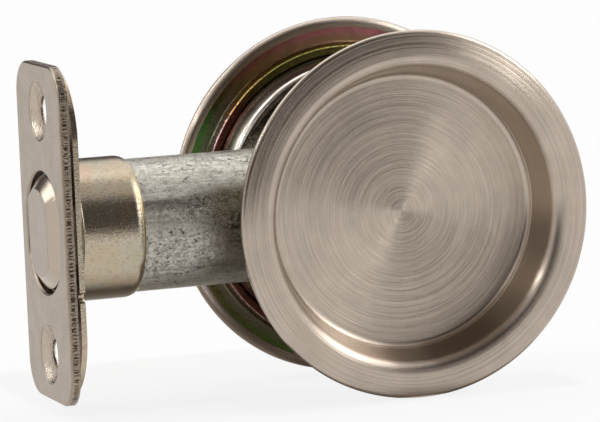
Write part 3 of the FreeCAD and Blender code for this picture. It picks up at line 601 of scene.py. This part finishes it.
def cupProfile(s):
    sheet, draft, lip, floor = s["sheet"], s["draft"], s["lip"], s["floorDepth"]
    top, rim, seat = s["rimTop"], s["rim"], s["seat"]
    across, rise = math.cos(math.radians(draft)), math.sin(math.radians(draft))
    foot, footDepth = s["wallFoot"], s["wallFootDepth"]
    fillet = (footDepth - floor) / (1 - rise)
    filletCentre = (foot - fillet * across, floor + fillet)
    lipCentre = (foot + (lip + (top - lip - footDepth) * rise) / across, top - lip)
    wallRun = (lipCentre[1] + lip * rise - footDepth) / across
    rimFrom, rimTo = lipCentre[0], rim - s["rimRound"]
    widest = top - s["rimFall"] - s["rimRound"]
    hemRound, hemInside, hemEdge = widest - seat, rim - s["hem"], s["hemEdge"]
    inside, underside = rim - sheet, top - s["rimFall"] - sheet

    def onWall(run, deeper=0.0):  # a point up the wall from its foot
        return foot + run * rise + deeper * across, footDepth + run * across - deeper * rise

    def onRim(part):  # a point on the rim's gently falling face
        return rimFrom + (rimTo - rimFrom) * part, top - s["rimFall"] * part ** s["rimCurve"]

    points = [(r, floor) for r in s["floorRows"]]
    points += profileArc(filletCentre, fillet, -90, -draft, s["filletSteps"])
    points += [onWall(s["scribe"] / 2, s["scribeDepth"]), onWall(s["scribe"])]
    points += [onWall(wallRun * k / s["wallRows"]) for k in range(1, s["wallRows"])]
    points += profileArc(lipCentre, lip, 180 - draft, 90, s["lipSteps"])
    points += [onRim(k / s["rimRows"]) for k in range(1, s["rimRows"])]
    points += profileArc((rimTo, widest), s["rimRound"], 90, 0, s["rimSteps"])
    points += profileArc((rim - hemRound, widest), hemRound, 0, -90, s["hemSteps"])[1:]
    points += profileArc((hemInside + hemEdge, seat + hemEdge), hemEdge, -90, -180, s["hemEdgeSteps"])
    points += [(hemInside, seat + sheet), (inside, seat + sheet), (inside, underside)]
    points += profileArc(lipCentre, lip - sheet, 90, 180 - draft, s["lipBackSteps"])
    points += profileArc(filletCentre, fillet + sheet, -draft, -90, s["backSteps"])
    points += [(r, floor - sheet) for r in s["backRows"]]
    return points


def turnedCup(name, side):
    return lathe(name, cupProfile(cupSizes), side, finishes["cup"], cupSizes["steps"], cupSizes["ripple"])


frontCup = turnedCup("front_finger_cup", -1)
settle(frontCup, "front_trim_cup", "set")
rearCup = turnedCup("rear_finger_cup", 1)

holeSizes = {"height": 13.6, "radius": 2.3, "from": 9.5, "to": 12.5, "segments": 48}


def boreHoles(obj, s):  # screw holes through the rear cup's floor
    for sign in (1, -1):
        mesh = bpy.data.meshes.new("cutter")
        bm = bmesh.new()
        middle = Vector((0, (s["from"] + s["to"]) / 2, sign * s["height"])) * mm
        place = Matrix.Translation(middle) @ Matrix.Rotation(math.pi / 2, 4, "X")
        bmesh.ops.create_cone(bm, cap_ends=True, segments=s["segments"], radius1=s["radius"] * mm,
                              radius2=s["radius"] * mm, depth=(s["to"] - s["from"]) * mm, matrix=place)
        bm.to_mesh(mesh)
        bm.free()
        cutter = newObject("cutter", mesh)
        cut = obj.modifiers.new("hole", "BOOLEAN")
        cut.object = cutter
        cut.solver = "EXACT"
        plain(obj)
        bpy.data.objects.remove(cutter)
    obj.data.set_sharp_from_angle(angle=math.radians(latheSizes["sharpAngle"]))


boreHoles(rearCup, holeSizes)
settle(rearCup, "rear_trim_cup", "set")

ringSizes = {
    "outside": 30.7, "front": 18.05, "sheet": 0.9, "hub": 26.7, "hubTip": 26.5, "hubInside": 25.15,
    "hubDepth": 1.9, "hubLand": 0.36, "bend": 0.6, "edge": 0.5,
    "bendSteps": 8, "bendBackSteps": 10, "edgeSteps": 5, "faceRows": 3, "steps": 224,
}


def ringProfile(s):
    back = s["front"] - s["sheet"]
    hubEnd = back - s["hubDepth"]
    bendCentre = (s["hub"] + s["bend"], back - s["bend"])
    inside, hubInside = s["hub"] - s["sheet"], s["hubInside"]
    face = s["outside"] - bendCentre[0]
    points = [(s["outside"], back), (s["outside"], s["front"])]
    points += profileArc(bendCentre, s["bend"] + s["sheet"], 90, 180, s["bendBackSteps"])
    points += [(inside, hubEnd + s["sheet"]), (hubInside, hubEnd + s["hubLand"]), (hubInside, hubEnd)]
    points += profileArc((s["hubTip"] - s["edge"], hubEnd + s["edge"]), s["edge"], -90, 0, s["edgeSteps"])
    points += profileArc(bendCentre, s["bend"], 180, 90, s["bendSteps"])
    points += [(s["outside"] - face * k / s["faceRows"], back) for k in range(s["faceRows"] - 1, 0, -1)]
    return points + points[:1]


for name, side in (("front", -1), ("rear", 1)):
    ring = lathe(name + "_hub_ring", ringProfile(ringSizes), side, finishes["rainbow"], ringSizes["steps"])
    settle(ring, name + "_backing_ring", "set")
print("cups and rings turned")


# pieces that keep the solid's form, with softened edges and even shading

softSizes = {"mergeDistance": 0.002, "flatAngle": 0.4, "edgeAngle": 28, "segments": 2, "evenWeight": 80}


def softCopy(node, name, finish, width, s):
    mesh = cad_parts[node].data.copy()
    mesh.materials.clear()
    bm = bmesh.new()
    bm.from_mesh(mesh)
    bmesh.ops.remove_doubles(bm, verts=bm.verts, dist=s["mergeDistance"] * mm)
    bmesh.ops.dissolve_limit(bm, angle_limit=math.radians(s["flatAngle"]), verts=bm.verts, edges=bm.edges)
    for face in bm.faces:
        face.smooth = True
    bm.to_mesh(mesh)
    bm.free()
    obj = newObject(name, mesh)
    mesh.materials.append(finish)
    mesh.set_sharp_from_angle(angle=math.radians(s["edgeAngle"]))
    if width:
        soft = obj.modifiers.new("soft", "BEVEL")
        soft.width = width * mm
        soft.segments = s["segments"]
        soft.limit_method = "ANGLE"
        soft.angle_limit = math.radians(s["edgeAngle"])
        soft.miter_outer = "MITER_ARC"
        soft.harden_normals = False
    even = obj.modifiers.new("even", "WEIGHTED_NORMAL")
    even.weight = s["evenWeight"]
    even.keep_sharp = not width
    plain(obj)
    return obj


softPieces = {  # node: piece, finish, width of the soft edge, body, slot
    "edge_faceplate": ("door_edge_plate", "plate", 0.10, "set", "plate_nickel"),
    "latch_flange": ("collar_flange", "gold", 0.08, "set", "yellow_zinc"),
    "latch_tube": ("latch_body_tube", "tube", 0.08, "set", "galvanized_steel"),
    "finger_pull": ("press_finger_pull", "pull", 0.10, "pull", "plate_nickel"),
    "upper_screw": ("upper_clamp_screw", "pull", 0.05, "set", "plate_nickel"),
    "lower_screw": ("lower_clamp_screw", "pull", 0.05, "set", "plate_nickel"),
    "upper_post": ("upper_screw_post", "tube", 0.06, "set", "galvanized_steel"),
    "lower_post": ("lower_screw_post", "tube", 0.06, "set", "galvanized_steel"),
    "guide_bush": ("stem_guide_bush", "acetal", 0.10, "set", "acetal"),
    "tube_end_plug": ("tube_back_plug", "acetal", 0.10, "set", "acetal"),
    "catch_wire": ("heart_cam_wire", "spring", 0.0, "set", "spring_steel"),
}
for node, (name, finish, width, body, slotName) in softPieces.items():
    settle(softCopy(node, name, finishes[finish], width, softSizes), node, body)
print("plate, flange, tube and pull dressed")

springSizes = {
    "from": -39.88, "to": -32.48, "turns": 4.5, "wireRadius": 0.5, "coilRadius": 7.0,
    "turnSteps": 64, "wireSteps": 14, "sharpAngle": 40,
}


def coilTree(s):
    tree = bpy.data.node_groups.new("coiledAlongX", "GeometryNodeTree")
    face = tree.interface
    face.new_socket("Base", in_out="INPUT", socket_type="NodeSocketGeometry")
    for name in ("Turns", "Radius", "Length", "Wire", "Start"):
        face.new_socket(name, in_out="INPUT", socket_type="NodeSocketFloat")
    face.new_socket("Finish", in_out="INPUT", socket_type="NodeSocketMaterial")
    face.new_socket("Coil", in_out="OUTPUT", socket_type="NodeSocketGeometry")
    g = Wire(tree)
    given = g.node("NodeGroupInput")
    radius, wire = given.out("Radius"), given.out("Wire")
    spiral = g.node("GeometryNodeCurveSpiral", None, {
        "Resolution": s["turnSteps"], "Rotations": given.out("Turns"), "Start Radius": radius,
        "End Radius": radius, "Height": given.out("Length") - wire * 2.0})
    laid = g.node("GeometryNodeTransform", None, {
        "Geometry": spiral, "Translation": g.combine(given.out("Start") + wire, 0.0, 0.0),
        "Rotation": (0.0, math.pi / 2, 0.0)})
    section = g.node("GeometryNodeCurvePrimitiveCircle", None, {"Resolution": s["wireSteps"], "Radius": wire})
    tube = g.node("GeometryNodeCurveToMesh", None,
                  {"Curve": laid, "Profile Curve": section, "Fill Caps": True})
    smooth = g.node("GeometryNodeSetShadeSmooth", None, {"Geometry": tube})
    real = g.node("GeometryNodeRealizeInstances", None, {"Geometry": smooth})
    dressed = g.node("GeometryNodeSetMaterial", None, {"Geometry": real, "Material": given.out("Finish")})
    g.node("NodeGroupOutput", None, {"Coil": dressed})
    return tree


spring = newObject("return_spring", bpy.data.meshes.new("return_spring"))
runTree(spring, coilTree(springSizes), {
    "Turns": springSizes["turns"], "Radius": springSizes["coilRadius"] * mm,
    "Wire": springSizes["wireRadius"] * mm, "Start": springSizes["from"] * mm,
    "Length": (springSizes["to"] - springSizes["from"]) * mm, "Finish": finishes["spring"]})
tidyShell(spring.data, springSizes["sharpAngle"])
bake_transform(spring)
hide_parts("pull_spring")
print("spring coiled")


# studio, in metres and watts

studio = {
    "floorTone": 0.93, "floorGlow": 0.86, "floorHalf": 8, "floorGap": 0.00005, "shadeSheetLift": 0.0004,
    "ambient": 0.62, "darkCloth": (0.085, 0.076, 0.068), "paleCloth": (0.52, 0.475, 0.43),
}
low = cadBox[0].z - studio["floorGap"]


def level(west, east, south, north, height):  # corners of a flat rectangle
    return [(west, south, height), (east, south, height), (east, north, height), (west, north, height)]


def upright(y, corners):  # a board square to Y, from its (x, z) corners
    return [(x, y, z) for x, z in corners]


darkBoards = {  # what the metal mirrors as its dark bands; none is in the camera's sight
    "front_flag": upright(-2.4, [(-4.0, -0.03), (1.0, -0.03), (2.2, 2.05), (2.2, 3.1), (1.6, 4.0),
                                 (-1.0, 4.0), (-1.6, 1.3), (-4.0, 1.3)]),
    "low_board": upright(-0.42, [(-0.55, -0.031), (0.165, -0.031), (0.20, 0.10), (-0.55, 0.10)]),
    "back_flag": upright(2.4, [(-1.7, 0.22), (1.2, 0.22), (1.2, 1.5), (-1.7, 1.5)]),
}
paleBoards = {"ceiling_flag": level(-3.4, 1.0, -2.4, 0.0, 3.4)}
shadeSheetHeight = low + studio["shadeSheetLift"]
shadeSheets = {  # sheets standing in for the shade under the cups, seen only in reflections: painted shade
    "under_mat": level(-0.060, 0.02, -0.003, 0.05, shadeSheetHeight),
    "rim_mat": level(-0.03, 0.03, -0.021, -0.0035, shadeSheetHeight),
}


def plainSheet(name, corners, finish):
    mesh = bpy.data.meshes.new(name)
    mesh.from_pydata(corners, [], [tuple(range(len(corners)))])
    mesh.materials.append(finish)
    return newObject(name, mesh)


def matt(name, colour):
    mat, g, shader = newMaterial(name, 0.0, 1.0)
    shader.inputs["Base Color"].default_value = (*colour, 1.0)
    shader.inputs["Specular IOR Level"].default_value = 0.0
    return mat, g, shader


def seenDirectly(g):  # 1 where the camera, a mirror or glass looks straight at it
    path = g.node("ShaderNodeLightPath", None, None, "Is Camera Ray")
    return path.most(path.out("Is Glossy Ray")).most(path.out("Is Transmission Ray"))


def paperFloor(look):  # white paper that still takes a faint shadow
    mat, g, shader = matt("floor_paper", (look["floorTone"],) * 3)
    glow = g.node("ShaderNodeEmission", None, {"Strength": 1.0})
    lit = Wire(mat.node_tree, shader.outputs[0])
    both = g.node("ShaderNodeMixShader", None, {0: seenDirectly(g) * look["floorGlow"], 1: lit, 2: glow})
    mat.node_tree.links.new(both.socket, mat.node_tree.nodes["Material Output"].inputs["Surface"])
    return mat


half = studio["floorHalf"]
floor = plainSheet("floor", level(-half, half, -half, half, low), paperFloor(studio))
darkCloth = matt("flag_cloth", studio["darkCloth"])[0]
paleCloth = matt("ceiling_cloth", studio["paleCloth"])[0]
for boards, cloth, castsShadow in ((darkBoards, darkCloth, True), (paleBoards, paleCloth, True),
                                   (shadeSheets, paleCloth, False)):
    for name, corners in boards.items():
        board = plainSheet(name, corners, cloth)
        board.visible_camera = False
        board.visible_shadow = castsShadow

world = bpy.data.worlds.new("studio")
scene.world = world
world.use_nodes = True
world.node_tree.nodes.clear()
sky = Wire(world.node_tree)
skyLevel = seenDirectly(sky) * (1.0 - studio["ambient"]) + studio["ambient"]
skyGlow = sky.node("ShaderNodeBackground", None, {"Color": (1.0, 1.0, 1.0, 1.0), "Strength": skyLevel})
sky.node("ShaderNodeOutputWorld", None, {"Surface": skyGlow})

lamps = {  # place, size, power; all look at the origin
    "overhead_box": ((0.4, 1.6, 2.6), 3.0, 22.0),
    "side_box": ((1.70, -1.38, 1.0), 0.8, 7.0),
    "right_box": ((1.8, -0.45, 1.5), 1.2, 16.0),
    "left_box": ((-1.3, 0.45, 1.75), 0.7, 4.5),
    "spark_box": ((-1.66, -0.20, 1.09), 0.10, 2.6),
    "back_box": ((-1.5, 1.3, 0.9), 0.8, 4.0),
}


def areaLamp(name, place, size, power):
    lamp = bpy.data.lights.new(name, "AREA")
    lamp.shape = "SQUARE"
    lamp.size = size
    lamp.energy = power
    obj = newObject(name, lamp)
    obj.location = place
    obj.rotation_euler = (-Vector(place)).to_track_quat("-Z", "Y").to_euler()


for name, (place, size, power) in lamps.items():
    areaLamp(name, place, size, power)

cameraFit = {  # degrees and millimetres; the focal length and the origin's place in pixels of the image
    "azimuth": -19.462, "elevation": 7.212, "roll": -2.413, "distance": 749.186,
    "originPixel": (378.521, 203.756), "focal": 4335.745, "image": (600, 422),
    "sensor": 36.0, "clipStart": 10.0,
}


def placeCamera(s):
    a, e, r = (math.radians(s[k]) for k in ("azimuth", "elevation", "roll"))
    back = Vector((math.sin(a) * math.cos(e), -math.cos(a) * math.cos(e), math.sin(e)))
    sideways = Vector((math.cos(a), math.sin(a), 0.0))
    rise = back.cross(sideways)
    right = math.cos(r) * sideways + math.sin(r) * rise
    up = -math.sin(r) * sideways + math.cos(r) * rise
    width, height = s["image"]
    pixel = s["distance"] / s["focal"]  # one pixel at the origin
    across = (s["originPixel"][0] - width / 2) * pixel
    above = (height / 2 - s["originPixel"][1]) * pixel
    camera = bpy.data.cameras.new("photo_view")
    camera.sensor_width = s["sensor"]
    camera.lens = s["focal"] / width * s["sensor"]
    camera.clip_start = s["clipStart"] * mm
    obj = newObject("photo_view", camera)
    turn = Matrix((right, up, back)).transposed()
    place = (back * s["distance"] - right * across - up * above) * mm
    obj.matrix_world = Matrix.Translation(place) @ turn.to_4x4()
    scene.camera = obj


placeCamera(cameraFit)
scene.view_settings.view_transform = "Standard"
print("studio and camera placed")
